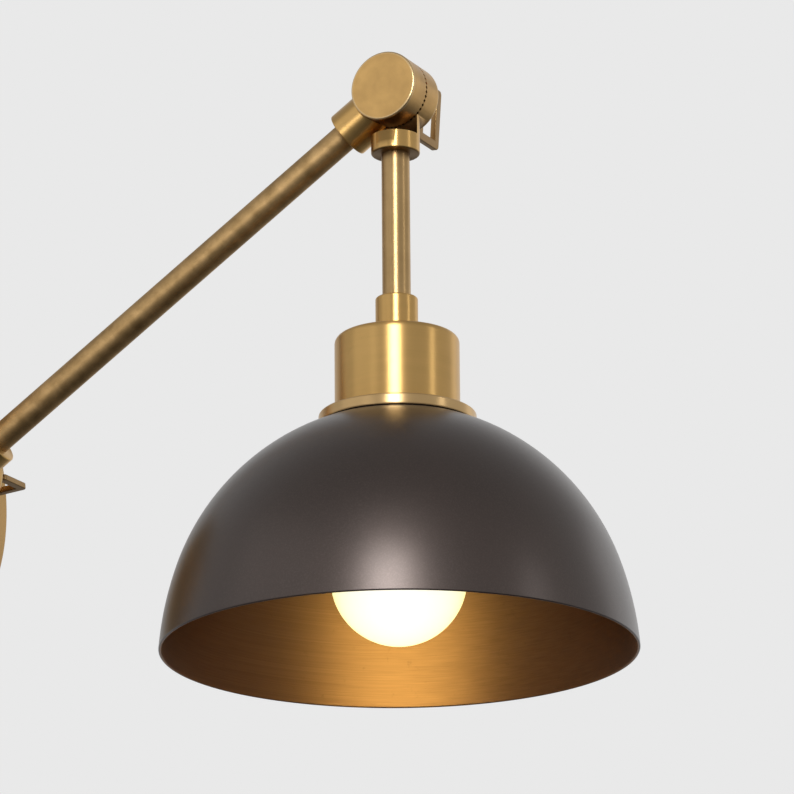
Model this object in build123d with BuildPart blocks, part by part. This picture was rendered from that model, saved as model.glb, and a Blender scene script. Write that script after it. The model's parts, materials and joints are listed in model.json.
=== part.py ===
from build123d import *
import math
import os

os.makedirs("parts", exist_ok=True)

# An adjustable wall lamp, in millimetres.
# The origin is on the wall, at the middle of the wall plate's back.
# X points out of the wall, Y to the right as one faces the wall, and Z up.

# Wall plate, a hollow canopy
plate_d = 148.0
plate_depth = 22.0
plate_wall = 1.5
plate_edge_r = 2.5

# Bracket behind the plate, screwed to the wall box
bracket_width = 24.0
bracket_thick = 2.0
bracket_tab = 16.0
slot_spacing = 79.4
slot_length = 19.0
slot_width = 5.0
ground_screw_height = 18.0

# Small fasteners
screw_r = 2.0
screw_head_r = 3.6
screw_head_h = 2.4
thread_fit = 0.02
hole_fit = 0.15
ground_head_flats = 8.0
washer_h = 1.0
nut_h = 5.0
nut_flats = 16.0
thread_d = 10.0
thread_bore_d = 6.0
thread_spare = 2.5

# Tubes and the span between the two pivots
arm_angle = 32.45
pivot_span = 272.0
tube_d = 12.7
tube_wall = 1.2
tube_fit = 0.03

# Toothed knuckles
drum_d = 32.3
drum_half = 12.15
drum_edge_r = 0.9
split_gap = 0.3
tooth_count = 48
tooth_depth = 0.8
tooth_land = 0.5
tooth_run_out = 0.3
chamber_d = 19.0
chamber_depth = 5.5
front_skin = 1.2
rim_clearance = 1.25

# Collars that hold the tubes, and the boss that meets the plate
collar_d = 22.0
collar_len = 8.4
low_collar_len = 6.6
collar_clearance = 0.98
collar_edge_r = 0.8
seat_step = 0.6
wire_way_d = 4.6
boss_d = 25.0
boss_h = 2.6

# Clamp screws and their loop keys
clamp_screw_d = 6.0
clamp_fit = 0.06
clamp_tip_gap = 0.4
clamp_in_key = 4.6
key_washer_d = 13.0
key_gap = 0.3
key_hub_d = 9.5
upper_hub_h = 8.6
lower_hub_h = 2.8
key_loop_len = 19.6
key_width = 28.6
key_band = 4.0
key_thick = 2.9
key_corner_r = 2.0
upper_key_angle = 86.0
lower_key_angle = 4.0

# Neck, cup and flange below the drop tube
drop_len = 97.4
ferrule_d = 19.0
ferrule_len = 18.5
ferrule_edge_r = 1.0
ferrule_socket = 11.5
cup_d = 55.6
cup_h = 36.0
cup_wall = 1.4
cup_edge_r = 3.2
flange_d = 70.0
flange_h = 5.3
flange_edge_r = 1.0
flange_foot_d = 62.0
flange_foot_h = 0.2
spigot_h = 2.0
spigot_fit = 0.2

# Dome shade
shade_d = 210.0
shade_h = 102.2
shade_wall = 1.2
shoulder_d = 69.0
shoulder_slope = 20.8
dome_r = 106.5
dome_arc = 50.5

# Lamp socket and the ring that clamps the shade
socket_d = 39.0
socket_reach = 35.2
socket_depth = 27.4
socket_gap = 0.4
cap_gap = 1.6
cap_h = 10.0
cap_socket = 6.0
ring_d = 56.0
ring_h = 5.0
shell_d = 27.8
shell_wall = 0.4
shell_inset = 1.5
shell_len = 22.0
contact_d = 12.0
contact_h = 1.0

# Globe bulb
bulb_d = 60.0
bulb_len = 90.3
bulb_wall = 1.0
base_d = 26.4
base_wall = 0.4
base_len = 23.6
insulator_d = 17.0
insulator_h = 1.6
tip_d = 9.0
tip_h = 0.8
neck_gap = 0.1
neck_in_base = 5.0
neck_flare_r = 12.0

# Radii that several pieces share
plate_r = plate_d / 2
tube_r = tube_d / 2
drum_r = drum_d / 2
collar_r = collar_d / 2
chamber_r = chamber_d / 2
clamp_r = clamp_screw_d / 2
thread_r = thread_d / 2
socket_hole_r = socket_d / 2 + socket_gap

# The collars just clear each other where the arm and the drop tube fold closest
closed_angle = 90 - arm_angle
collar_meet = collar_r / math.tan(math.radians(closed_angle / 2))
collar_start = max(drum_r + rim_clearance, collar_meet + collar_clearance)
collar_end = collar_start + collar_len
low_collar_start = drum_r + rim_clearance
low_collar_end = low_collar_start + low_collar_len

# Pivots and directions
outward = Vector(1, 0, 0)
upward = Vector(0, 0, 1)
arm_dir = Vector(math.cos(math.radians(arm_angle)), 0, math.sin(math.radians(arm_angle)))
stand_off = drum_r + rim_clearance + boss_h
low_pivot = outward * (plate_depth + stand_off)
head_pivot = low_pivot + arm_dir * pivot_span
head_axis = Axis(head_pivot, upward)
head_section = Plane(origin=head_pivot, x_dir=outward, z_dir=(0, -1, 0))

# Heights below the head's pivot, from the neck down to the rim
ferrule_top = -drop_len
tube_end = ferrule_top - ferrule_socket
cup_top = ferrule_top - ferrule_len
cup_bottom = cup_top - cup_h
flange_bottom = cup_bottom - flange_h
shade_top = flange_bottom - flange_foot_h
shade_rim = shade_top - shade_h
nut_top = cup_top - cup_wall - washer_h
cap_top = nut_top - nut_h - cap_gap
cap_bottom = cap_top - cap_h
socket_mouth = shade_top - socket_reach
socket_floor = socket_mouth + socket_depth
tip_top = socket_floor - contact_h
insulator_top = tip_top - tip_h
base_top = insulator_top - insulator_h
base_bottom = base_top - base_len
globe_centre = tip_top - bulb_len + bulb_d / 2


def level(height):
    """Horizontal plane on the head's axis, at a height from the head's pivot."""
    return Plane(origin=head_pivot + upward * height)


def across(pivot, reach, distance):
    """Plane square to a tube, at a distance from its pivot, with its x along the pivot's axis."""
    return Plane(origin=pivot + reach * distance, x_dir=(0, 1, 0), z_dir=reach)


def beside(pivot, distance):
    """Plane square to a pivot's axis, at a distance along Y."""
    return Plane(origin=pivot + Vector(0, distance, 0), x_dir=outward, z_dir=(0, 1, 0))


def ring(plane, outer_r, inner_r, height):
    """Plain ring or washer, raised from its plane."""
    with BuildPart() as piece:
        with BuildSketch(plane):
            Circle(outer_r)
            Circle(inner_r, mode=Mode.SUBTRACT)
        extrude(amount=height)
    return piece


def hex_nut(plane, height):
    """Hexagon nut for the hollow threaded stems."""
    with BuildPart() as piece:
        with BuildSketch(plane):
            RegularPolygon(nut_flats / 2, 6, major_radius=False)
            Circle(thread_r + thread_fit, mode=Mode.SUBTRACT)
        extrude(amount=height)
    return piece


def tooth_gap_section(radius):
    """Triangle between two teeth at a radius, on a plane square to X."""
    share = radius / drum_r
    width = (2 * math.pi * drum_r / tooth_count - tooth_land) * share
    flank = math.hypot(width / 2, tooth_depth * share)
    with BuildSketch(Plane.YZ.offset(radius)) as section:
        Triangle(a=width, b=flank, c=flank, align=(Align.CENTER, Align.MIN))
    return section.sketch


def toothed_half(pivot, reach, side, neck_len):
    """Half a knuckle: a drum with a ring of radial teeth, and a half-round neck along its tube.

    side is -1 for the plain front half and 1 for the half that the key presses on.
    """
    face = Plane(origin=pivot + Vector(0, side * split_gap / 2, 0), x_dir=outward, z_dir=(0, side, 0))
    with BuildPart() as half:
        with BuildSketch(face):
            Circle(drum_r)
        extrude(amount=drum_half - split_gap / 2)
        fillet(half.edges().sort_by(Axis(pivot, (0, side, 0)))[-1], drum_edge_r)
        with BuildSketch(across(pivot, reach, 0)):
            with Locations((side * (split_gap / 2 + collar_r / 2), 0)):
                Rectangle(collar_r, collar_d)
            Circle(collar_r, mode=Mode.INTERSECT)
        extrude(amount=neck_len)
        with Locations(face):
            with PolarLocations(0, tooth_count):
                add(tooth_gap.part, mode=Mode.SUBTRACT)
        with BuildSketch(face):
            Circle(chamber_r)
        extrude(amount=chamber_depth, mode=Mode.SUBTRACT)
    return half


def wire_way(pivot, reach, side, length):
    """Hole for the wires, from the chamber between the halves out along the neck."""
    with BuildPart() as way:
        with BuildSketch(across(pivot, reach, clamp_r)):
            with Locations((side * (split_gap + chamber_depth) / 2, 0)):
                Circle(wire_way_d / 2)
        extrude(amount=length - clamp_r)
    return way.part


def clamp_hole(pivot, side, depth):
    """Hole for the clamp screw, from the split to a depth in one half."""
    with BuildPart() as hole:
        with BuildSketch(beside(pivot, 0)):
            Circle(clamp_r + clamp_fit)
        extrude(amount=side * depth)
    return hole.part


def collared_half(pivot, reach, side, start, end, hole_depth):
    """Knuckle half with a full round collar, bored for the end of a tube."""
    seat = start + seat_step
    with BuildPart() as half:
        add(toothed_half(pivot, reach, side, start).part)
        with BuildSketch(across(pivot, reach, start)):
            Circle(collar_r)
        extrude(amount=end - start)
        fillet(half.edges().filter_by(GeomType.CIRCLE).sort_by(Axis(pivot, reach))[-1], collar_edge_r)
        with BuildSketch(across(pivot, reach, seat)):
            Circle(tube_r + tube_fit)
        extrude(amount=end - seat, mode=Mode.SUBTRACT)
        add(wire_way(pivot, reach, side, seat), mode=Mode.SUBTRACT)
        add(clamp_hole(pivot, side, hole_depth), mode=Mode.SUBTRACT)
    return half


def clamp_key(pivot, angle, hub_h):
    """Flat loop key on a hub; angle turns the loop's width from X towards Z."""
    turn = math.radians(angle)
    hub_start = drum_half + washer_h + key_gap
    loop_plane = Plane(
        origin=pivot + Vector(0, hub_start + hub_h + key_loop_len / 2, 0),
        x_dir=(math.cos(turn), 0, math.sin(turn)),
        z_dir=(-math.sin(turn), 0, math.cos(turn)),
    )
    with BuildPart() as key:
        with BuildSketch(loop_plane):
            RectangleRounded(key_width, key_loop_len, key_corner_r)
            offset(amount=-key_band, mode=Mode.SUBTRACT)
        extrude(amount=key_thick / 2, both=True)
        with BuildSketch(beside(pivot, hub_start)):
            Circle(key_hub_d / 2)
        extrude(amount=hub_h + key_band / 2)
        with BuildSketch(beside(pivot, hub_start)):
            Circle(clamp_r + thread_fit)
        extrude(amount=clamp_in_key, mode=Mode.SUBTRACT)
    return key


def clamp_screw(pivot):
    """Screw that the key turns, threaded into the front half of its knuckle."""
    tip = drum_half - front_skin - clamp_tip_gap
    end = drum_half + washer_h + key_gap + clamp_in_key
    with BuildPart() as screw:
        with BuildSketch(beside(pivot, -tip)):
            Circle(clamp_r)
        extrude(amount=tip + end)
        chamfer(screw.edges().sort_by(Axis.Y)[0], clamp_tip_gap)
    return screw


def key_washer(pivot):
    """Washer between a key's hub and its knuckle."""
    return ring(beside(pivot, drum_half), key_washer_d / 2, clamp_r + hole_fit, washer_h)


# The gap between two teeth, with its point on the drum's axis
with BuildPart() as tooth_gap:
    loft(sections=[tooth_gap_section(chamber_r / 2), tooth_gap_section(drum_r + tooth_run_out)], ruled=True)

# Wall plate: a spun canopy with a hole for the stem and one at each end for a side screw
with BuildPart() as wall_plate:
    with BuildSketch(Plane.XZ):
        with Locations((0, thread_r + hole_fit)):
            Rectangle(plate_depth, plate_r - thread_r - hole_fit, align=Align.MIN)
        fillet(vertices().group_by(Axis.Y)[-1].sort_by(Axis.X)[-1], plate_edge_r)
        with Locations((0, 0)):
            Rectangle(plate_depth - plate_wall, plate_r - plate_wall, align=Align.MIN, mode=Mode.SUBTRACT)
    revolve(axis=Axis.X)
    with BuildSketch(Plane.XY.offset(-plate_r)):
        with Locations((plate_depth / 2, 0)):
            Circle(screw_r + hole_fit)
    extrude(amount=plate_d, mode=Mode.SUBTRACT)

# Bracket: a slotted strip on the wall, with a tab bent up at each end inside the plate's rim
bracket_half = math.sqrt((plate_r - plate_wall) ** 2 - (bracket_width / 2) ** 2) - hole_fit
with BuildPart() as mounting_bracket:
    with BuildSketch(Plane.XZ):
        Rectangle(bracket_thick, 2 * bracket_half, align=(Align.MIN, Align.CENTER))
        for end in (-1, 1):
            with Locations((0, end * (bracket_half - bracket_thick / 2))):
                Rectangle(bracket_tab, bracket_thick, align=(Align.MIN, Align.CENTER))
    extrude(amount=bracket_width / 2, both=True)
    with BuildSketch(Plane.YZ):
        with GridLocations(0, slot_spacing, 1, 2):
            SlotOverall(slot_length, slot_width, rotation=90)
        with Locations((0, ground_screw_height)):
            Circle(screw_r + thread_fit)
    extrude(amount=bracket_thick, mode=Mode.SUBTRACT)
    with BuildSketch(Plane.XY.offset(-bracket_half)):
        with Locations((plate_depth / 2, 0)):
            Circle(screw_r + thread_fit)
    extrude(amount=2 * bracket_half, mode=Mode.SUBTRACT)

# Side screws, one above and one below, through the plate's rim into the bracket's tabs
with BuildPart() as plate_screws:
    for end in (-1, 1):
        with BuildSketch(Plane.XY.offset(end * (bracket_half - bracket_thick - screw_r))):
            with Locations((plate_depth / 2, 0)):
                Circle(screw_r)
        extrude(amount=end * (plate_r + screw_head_h / 2 - bracket_half + bracket_thick + screw_r))
        with BuildSketch(Plane.XY.offset(end * plate_r)):
            with Locations((plate_depth / 2, 0)):
                Circle(screw_head_r)
        extrude(amount=end * screw_head_h)

# Ground screw on the bracket
with BuildPart() as ground_screw:
    with BuildSketch(Plane.YZ):
        with Locations((0, ground_screw_height)):
            Circle(screw_r)
    extrude(amount=bracket_thick)
    with BuildSketch(Plane.YZ.offset(bracket_thick)):
        with Locations((0, ground_screw_height)):
            RegularPolygon(ground_head_flats / 2, 6, major_radius=False)
    extrude(amount=screw_head_h)

# Wall half of the lower knuckle: a boss against the plate and a hollow threaded stem through it
stem_len = plate_wall + washer_h + nut_h + thread_spare
with BuildPart() as wall_knuckle_half:
    add(toothed_half(low_pivot, -outward, 1, stand_off - boss_h).part)
    with BuildSketch(across(low_pivot, -outward, stand_off - boss_h)):
        Circle(boss_d / 2)
    extrude(amount=boss_h)
    with BuildSketch(across(low_pivot, -outward, stand_off)):
        Circle(thread_r)
    extrude(amount=stem_len)
    with BuildSketch(across(low_pivot, -outward, stand_off - boss_h / 2)):
        Circle(thread_bore_d / 2)
    extrude(amount=stem_len + boss_h / 2, mode=Mode.SUBTRACT)
    add(wire_way(low_pivot, -outward, 1, stand_off), mode=Mode.SUBTRACT)
    add(clamp_hole(low_pivot, 1, drum_half), mode=Mode.SUBTRACT)

# Washer and nut that hold the stem behind the plate
behind_plate = Plane(origin=outward * (plate_depth - plate_wall), x_dir=(0, 1, 0), z_dir=-outward)
stem_washer = ring(behind_plate, nut_flats / 2, thread_r + hole_fit, washer_h)
stem_nut = hex_nut(behind_plate.offset(washer_h), nut_h)

# Arm: a tube between two knuckle halves
blind_depth = drum_half - front_skin
arm_lower_knuckle_half = collared_half(low_pivot, arm_dir, -1, low_collar_start, low_collar_end, blind_depth)
arm_upper_knuckle_half = collared_half(head_pivot, -arm_dir, -1, collar_start, collar_end, blind_depth)
arm_tube_len = pivot_span - low_collar_start - collar_start - 2 * seat_step
arm_tube_foot = across(low_pivot, arm_dir, low_collar_start + seat_step)
arm_tube = ring(arm_tube_foot, tube_r, tube_r - tube_wall, arm_tube_len)

# Keys, screws and washers of both knuckles
lower_key = clamp_key(low_pivot, lower_key_angle, lower_hub_h)
lower_clamp_screw = clamp_screw(low_pivot)
lower_key_washer = key_washer(low_pivot)
upper_key = clamp_key(head_pivot, upper_key_angle, upper_hub_h)
upper_clamp_screw = clamp_screw(head_pivot)
upper_key_washer = key_washer(head_pivot)

# Drop tube under the upper knuckle
head_knuckle_half = collared_half(head_pivot, -upward, 1, collar_start, collar_end, drum_half)
drop_tube_top = -collar_start - seat_step
drop_tube = ring(level(tube_end), tube_r, tube_r - tube_wall, drop_tube_top - tube_end)

# Ferrule: holds the drop tube from above and the hollow nipple from below
with BuildPart() as neck_ferrule:
    with BuildSketch(level(cup_top)):
        Circle(ferrule_d / 2)
        Circle(thread_r + thread_fit, mode=Mode.SUBTRACT)
    extrude(amount=ferrule_len)
    outer_edges = neck_ferrule.edges().filter_by(GeomType.CIRCLE).group_by(SortBy.RADIUS)[-1]
    fillet(outer_edges.sort_by(Axis.Z)[-1], ferrule_edge_r)
    with BuildSketch(level(tube_end)):
        Circle(tube_r + tube_fit)
    extrude(amount=ferrule_socket, mode=Mode.SUBTRACT)

# Hollow nipple through the cup, with its washer and nut
nipple_end = cap_top - cap_socket
cup_nipple = ring(level(nipple_end), thread_r, thread_bore_d / 2, tube_end - nipple_end)
cup_washer = ring(level(nut_top), nut_flats / 2, thread_r + hole_fit, washer_h)
cup_nut = hex_nut(level(nut_top - nut_h), nut_h)

# Cup over the socket
with BuildPart() as socket_cup:
    with BuildSketch(level(cup_bottom)):
        Circle(cup_d / 2)
    extrude(amount=cup_h)
    fillet(socket_cup.edges().sort_by(Axis.Z)[-1], cup_edge_r)
    offset(amount=-cup_wall, openings=socket_cup.faces().sort_by(Axis.Z)[0])
    with BuildSketch(level(cup_bottom)):
        Circle(thread_r + hole_fit)
    extrude(amount=cup_h, mode=Mode.SUBTRACT)

# Flange between cup and shade, with a spigot that centres it in the cup and a narrower foot on the shade
with BuildPart() as shade_flange:
    with BuildSketch(level(flange_bottom)):
        Circle(flange_d / 2)
    extrude(amount=flange_h)
    fillet(shade_flange.edges(), flange_edge_r)
    with BuildSketch(level(cup_bottom)):
        Circle(cup_d / 2 - cup_wall - spigot_fit)
    extrude(amount=spigot_h)
    with BuildSketch(level(shade_top)):
        Circle(flange_foot_d / 2)
    extrude(amount=flange_foot_h)
    with BuildSketch(level(shade_top)):
        Circle(socket_hole_r)
    extrude(amount=flange_foot_h + flange_h + spigot_h, mode=Mode.SUBTRACT)

# Shade: a thin dome with a flat top, one round shoulder and a lower wall that comes in line with the rim
slope = math.radians(shoulder_slope)
slope_dir = Vector(math.cos(slope), -math.sin(slope))
slope_in = Vector(-math.sin(slope), -math.cos(slope))
shoulder = Vector(shoulder_d / 2, shade_top)
with BuildPart() as shade:
    with BuildSketch(head_section):
        with BuildLine():
            Line((socket_hole_r, shade_top), shoulder)
            outer_dome = JernArc(shoulder, slope_dir, dome_r, -dome_arc)
            TangentArc(outer_dome @ 1, (shade_d / 2, shade_rim), tangent=outer_dome % 1)
            Line((shade_d / 2, shade_rim), (shade_d / 2 - shade_wall, shade_rim))
            inner_start = shoulder + slope_in * shade_wall
            inner_dome = JernArc(inner_start, slope_dir, dome_r - shade_wall, -dome_arc)
            TangentArc(inner_dome @ 1, (shade_d / 2 - shade_wall, shade_rim), tangent=inner_dome % 1)
            Line(inner_start, (socket_hole_r, shade_top - shade_wall))
            Line((socket_hole_r, shade_top - shade_wall), (socket_hole_r, shade_top))
        make_face()
    revolve(axis=head_axis)

# Ring screwed up the socket against the shade
shade_ring = ring(level(shade_top - shade_wall - ring_h), ring_d / 2, socket_d / 2 + thread_fit, ring_h)

# Socket: cap on the nipple, body through the shade, screw shell and centre contact
with BuildPart() as socket_cap:
    with BuildSketch(level(cap_bottom)):
        Circle(socket_d / 2)
        Circle(thread_bore_d / 2, mode=Mode.SUBTRACT)
    extrude(amount=cap_h)
    with BuildSketch(level(nipple_end)):
        Circle(thread_r + thread_fit)
    extrude(amount=cap_socket, mode=Mode.SUBTRACT)

with BuildPart() as socket_body:
    with BuildSketch(level(socket_mouth)):
        Circle(socket_d / 2)
    extrude(amount=cap_bottom - socket_mouth)
    with BuildSketch(level(socket_mouth)):
        Circle(shell_d / 2 + thread_fit)
    extrude(amount=socket_depth, mode=Mode.SUBTRACT)

screw_shell = ring(level(socket_mouth + shell_inset), shell_d / 2, shell_d / 2 - shell_wall, shell_len)

with BuildPart() as socket_contact:
    with BuildSketch(level(tip_top)):
        Circle(contact_d / 2)
    extrude(amount=contact_h)

# Bulb: contact tip, insulator, screw base and frosted globe
with BuildPart() as bulb_tip:
    with BuildSketch(level(insulator_top)):
        Circle(tip_d / 2)
    extrude(amount=tip_h)

with BuildPart() as bulb_insulator:
    with BuildSketch(level(base_top)):
        Circle(insulator_d / 2)
    with BuildSketch(level(insulator_top)):
        Circle(tip_d / 2)
    loft(ruled=True)

with BuildPart() as bulb_base:
    with BuildSketch(level(base_bottom)):
        Circle(base_d / 2)
    extrude(amount=base_len)
    with BuildSketch(level(base_bottom)):
        Circle(base_d / 2 - base_wall)
    extrude(amount=base_len - base_wall, mode=Mode.SUBTRACT)

neck_r = base_d / 2 - base_wall - neck_gap
globe_r = bulb_d / 2
flare_height = math.sqrt((globe_r + neck_flare_r) ** 2 - (neck_r + neck_flare_r) ** 2)
flare_angle = math.degrees(math.atan2(flare_height, neck_r + neck_flare_r))
flare_centre = Vector(neck_r + neck_flare_r, globe_centre + flare_height)
with BuildPart() as bulb_globe:
    with BuildSketch(head_section):
        with BuildLine():
            for inset in (0, bulb_wall):
                CenterArc((0, globe_centre), globe_r - inset, -90, 90 + flare_angle)
                CenterArc(flare_centre, neck_flare_r + inset, 180, flare_angle)
                Line((neck_r - inset, flare_centre.Y), (neck_r - inset, base_bottom + neck_in_base))
            Line((neck_r, base_bottom + neck_in_base), (neck_r - bulb_wall, base_bottom + neck_in_base))
            Line((0, globe_centre - globe_r), (0, globe_centre - globe_r + bulb_wall))
        make_face()
    revolve(axis=head_axis)

pieces = {
    "wall_plate": wall_plate,
    "mounting_bracket": mounting_bracket,
    "plate_screws": plate_screws,
    "ground_screw": ground_screw,
    "wall_knuckle_half": wall_knuckle_half,
    "stem_washer": stem_washer,
    "stem_nut": stem_nut,
    "lower_key_washer": lower_key_washer,
    "lower_key": lower_key,
    "lower_clamp_screw": lower_clamp_screw,
    "arm_lower_knuckle_half": arm_lower_knuckle_half,
    "arm_tube": arm_tube,
    "arm_upper_knuckle_half": arm_upper_knuckle_half,
    "upper_key_washer": upper_key_washer,
    "upper_key": upper_key,
    "upper_clamp_screw": upper_clamp_screw,
    "head_knuckle_half": head_knuckle_half,
    "drop_tube": drop_tube,
    "neck_ferrule": neck_ferrule,
    "cup_nipple": cup_nipple,
    "cup_washer": cup_washer,
    "cup_nut": cup_nut,
    "socket_cup": socket_cup,
    "shade_flange": shade_flange,
    "shade": shade,
    "shade_ring": shade_ring,
    "socket_cap": socket_cap,
    "socket_body": socket_body,
    "screw_shell": screw_shell,
    "socket_contact": socket_contact,
    "bulb_tip": bulb_tip,
    "bulb_insulator": bulb_insulator,
    "bulb_base": bulb_base,
    "bulb_globe": bulb_globe,
}
for node, piece in pieces.items():
    piece.part.label = node
    export_step(piece.part, f"parts/{node}.step")
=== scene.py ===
import bmesh
import bpy
import json
import math
from mathutils import Matrix, Vector


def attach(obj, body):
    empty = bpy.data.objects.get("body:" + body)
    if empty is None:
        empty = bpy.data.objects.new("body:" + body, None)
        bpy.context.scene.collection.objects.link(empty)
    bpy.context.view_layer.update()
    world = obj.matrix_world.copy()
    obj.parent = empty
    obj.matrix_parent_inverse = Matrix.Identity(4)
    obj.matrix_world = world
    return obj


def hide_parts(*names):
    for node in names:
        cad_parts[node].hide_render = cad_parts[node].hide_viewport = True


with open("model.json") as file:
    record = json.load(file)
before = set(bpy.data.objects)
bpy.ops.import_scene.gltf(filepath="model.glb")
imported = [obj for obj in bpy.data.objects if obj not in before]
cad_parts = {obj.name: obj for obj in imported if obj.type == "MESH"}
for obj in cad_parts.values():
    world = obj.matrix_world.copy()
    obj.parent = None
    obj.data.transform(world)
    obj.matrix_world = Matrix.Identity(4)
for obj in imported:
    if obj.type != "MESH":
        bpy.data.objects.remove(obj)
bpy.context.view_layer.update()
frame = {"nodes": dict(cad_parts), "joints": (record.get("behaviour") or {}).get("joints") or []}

# An adjustable wall lamp, in metres, in the frame of its CAD parts.
# X points out of the wall, Y away from the camera and Z up.

# Places read from the frame
joints = {joint["name"]: joint for joint in frame["joints"]}
head_pivot = Vector(joints["head_tilt"]["pos_m"])
low_pivot = Vector(joints["arm_tilt"]["pos_m"])
arm_dir = (head_pivot - low_pivot).normalized()

# Angles in degrees
quarter = 90
half_turn = 180

# Places of turned pieces: each has its axis along its own Z
upright = Matrix.Translation(head_pivot)
along_arm = Matrix.Translation(low_pivot) @ arm_dir.to_track_quat("Z", "Y").to_matrix().to_4x4()
out_of_wall = Matrix.Rotation(math.radians(quarter), 4, "Y")
toward_camera = Matrix.Rotation(math.radians(quarter), 4, "X")
upper_drum = Matrix.Translation(head_pivot) @ toward_camera
lower_drum = Matrix.Translation(low_pivot) @ toward_camera

# Edges, walls and arcs of the turned pieces
fine_edge = 0.0003
drum_r = 0.01615
shade_wall = 0.0012
shade_shoulder_r = 0.0345
shade_shoulder_slope = 20.8
shade_dome_r = 0.1065
shade_dome_arc = 50.5
cup_edge = 0.0032
cup_wall = 0.0014
flange_edge = 0.0010
flange_foot_r = 0.031
flange_foot_h = 0.0002
# Height of the painted shadow along the flange's lowest edge
flange_shadow_h = 0.00035
ferrule_edge = 0.0010
tube_wall = 0.0012
plate_edge = 0.0025
plate_wall = 0.0015
bulb_wall = 0.0010
bulb_neck_flare = 0.012

# Loop keys, from the pivot out along Y
key_hub_r = 0.00475
key_hub_start = 0.01345
upper_hub_h = 0.0086
lower_hub_h = 0.0028
key_loop_len = 0.0196
key_width = 0.0286
key_band = 0.0040
key_thick = 0.0029
key_corner = 0.0020
key_round = 0.0005
upper_key_angle = 86.0
lower_key_angle = 4.0

# Fineness of the meshes: steps along an outline, sides round an axis, and what counts as flat or the same
fine_steps = 3
corner_steps = 6
broad_steps = 8
flare_steps = 10
wall_steps = 12
dome_steps = 32
hub_sides = 48
globe_sides = 96
pipe_sides = 128
cup_sides = 160
shade_sides = 192
crease = math.radians(32)
flat_within = math.radians(0.5)
sliver = 0.00003
same_point = 1e-6
same_seam = 1e-7

# Camera
camera_offset = Vector((0.96605, -1.83516, -0.78565))
camera_azimuth = 27.768
camera_elevation = -17.207
camera_roll = -0.453
camera_lens = 222.28
camera_sensor = 36.0

# Stage and studio; a sweep is a pair of values between which something fades in
lamp_middle = head_pivot + Vector((0, 0, -0.13))
floor_height = -0.70
floor_half = 14.0
floor_lift = 0.28
floor_tones = ((0.80, 0.80, 0.79), (0.84, 0.84, 0.83))
backdrop_grey = 0.8148
backdrop_turn = -12.0
backdrop_sweep = (-0.80, -0.97)
backdrop_foot_sweep = (-0.10, 0.05)
backdrop_top_sweep = (0.80, 0.45)
room_light = (0.43, 0.44, 0.47)
studio_greys = ((0.0, 0.05), (0.31, 0.20), (0.41, 0.54), (0.70, 0.53), (1.0, 0.30))


def span_along(node, place):
    """Lowest and highest point of a node along the axis of a place, and its radius there."""
    inverse = place.inverted()
    points = [inverse @ vertex.co for vertex in frame["nodes"][node].data.vertices]
    heights = [point.z for point in points]
    radius = max(math.hypot(point.x, point.y) for point in points)
    return min(heights), max(heights), radius


# Tones of brass: bright, middle and dark
golden = ((0.76, 0.475, 0.172), (0.69, 0.430, 0.150), (0.42, 0.240, 0.080))
tube_tone = ((0.66, 0.440, 0.205), (0.59, 0.390, 0.175), (0.38, 0.235, 0.090))
arm_tone = ((0.65, 0.430, 0.200), (0.57, 0.375, 0.165), (0.28, 0.170, 0.066))
pale_tone = ((0.77, 0.520, 0.245), (0.70, 0.470, 0.215), (0.45, 0.280, 0.120))
key_tone = ((0.42, 0.265, 0.115), (0.37, 0.230, 0.098), (0.22, 0.130, 0.052))
plate_tone = ((0.62, 0.385, 0.150), (0.55, 0.340, 0.130), (0.34, 0.200, 0.075))
drum_tone = ((0.72, 0.445, 0.165), (0.65, 0.400, 0.145), (0.38, 0.225, 0.085))

# Painted light on the brass: where painted shade under the knuckles and in the collar corners, and a
# painted highlight on the drum edges, fade in, and how strong they are
painted_shade_tone = (0.17, 0.090, 0.035)
knuckle_shade_below = (-0.0100, -0.0145)
knuckle_shade_share = 0.80
drum_side = (0.0119, 0.0111)
near_head = (0.246, 0.258)
collar_foot = span_along("head_knuckle_half", upright)[0]
# Painted shade on the drop collar's underside and on the tube just below it
under_collar = (collar_foot + 0.0008, collar_foot + 0.0003)
below_collar = (collar_foot - 0.0040, collar_foot - 0.0005)
corner_share = 0.75
# Painted highlight on the round edges of the drums
edge_highlight_tone = (0.90, 0.70, 0.42)
edge_radius = (0.0149, 0.0155)
edge_height = (0.0107, 0.0114)
edge_highlight_share = 0.5
mark_share = 0.25

# Tones of the other finishes
paint_flecks = ((0.056, 0.040, 0.034), (0.076, 0.055, 0.047))
paint_cloud = (0.072, 0.049, 0.040)
lining_tones = ((0.200, 0.098, 0.045), (0.328, 0.166, 0.077))
lining_mark = (0.105, 0.054, 0.026)
frost_tones = ((0.90, 0.86, 0.78), (0.96, 0.93, 0.86))
glow_middle = (0.104, 0.103, 0.087)
glow_edge = (0.101, 0.097, 0.030)
glow_light = (1.0, 0.93, 0.40)
glow_strength = 8.6


# Node helpers

def new_group(name, inputs, outputs):
    """An empty shader node group with its sockets; each is a (name, socket type) pair."""
    group = bpy.data.node_groups.new(name, "ShaderNodeTree")
    for label, kind in inputs:
        group.interface.new_socket(name=label, in_out="INPUT", socket_type=kind)
    for label, kind in outputs:
        group.interface.new_socket(name=label, in_out="OUTPUT", socket_type=kind)
    source = group.nodes.new("NodeGroupInput")
    target = group.nodes.new("NodeGroupOutput")
    return group, source, target


def add_node(tree, kind, values=None, **settings):
    """A node with its settings and the plain values of its input sockets."""
    node = tree.nodes.new(kind)
    for key, value in settings.items():
        setattr(node, key, value)
    for key, value in (values or {}).items():
        node.inputs[key].default_value = value
    return node


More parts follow.
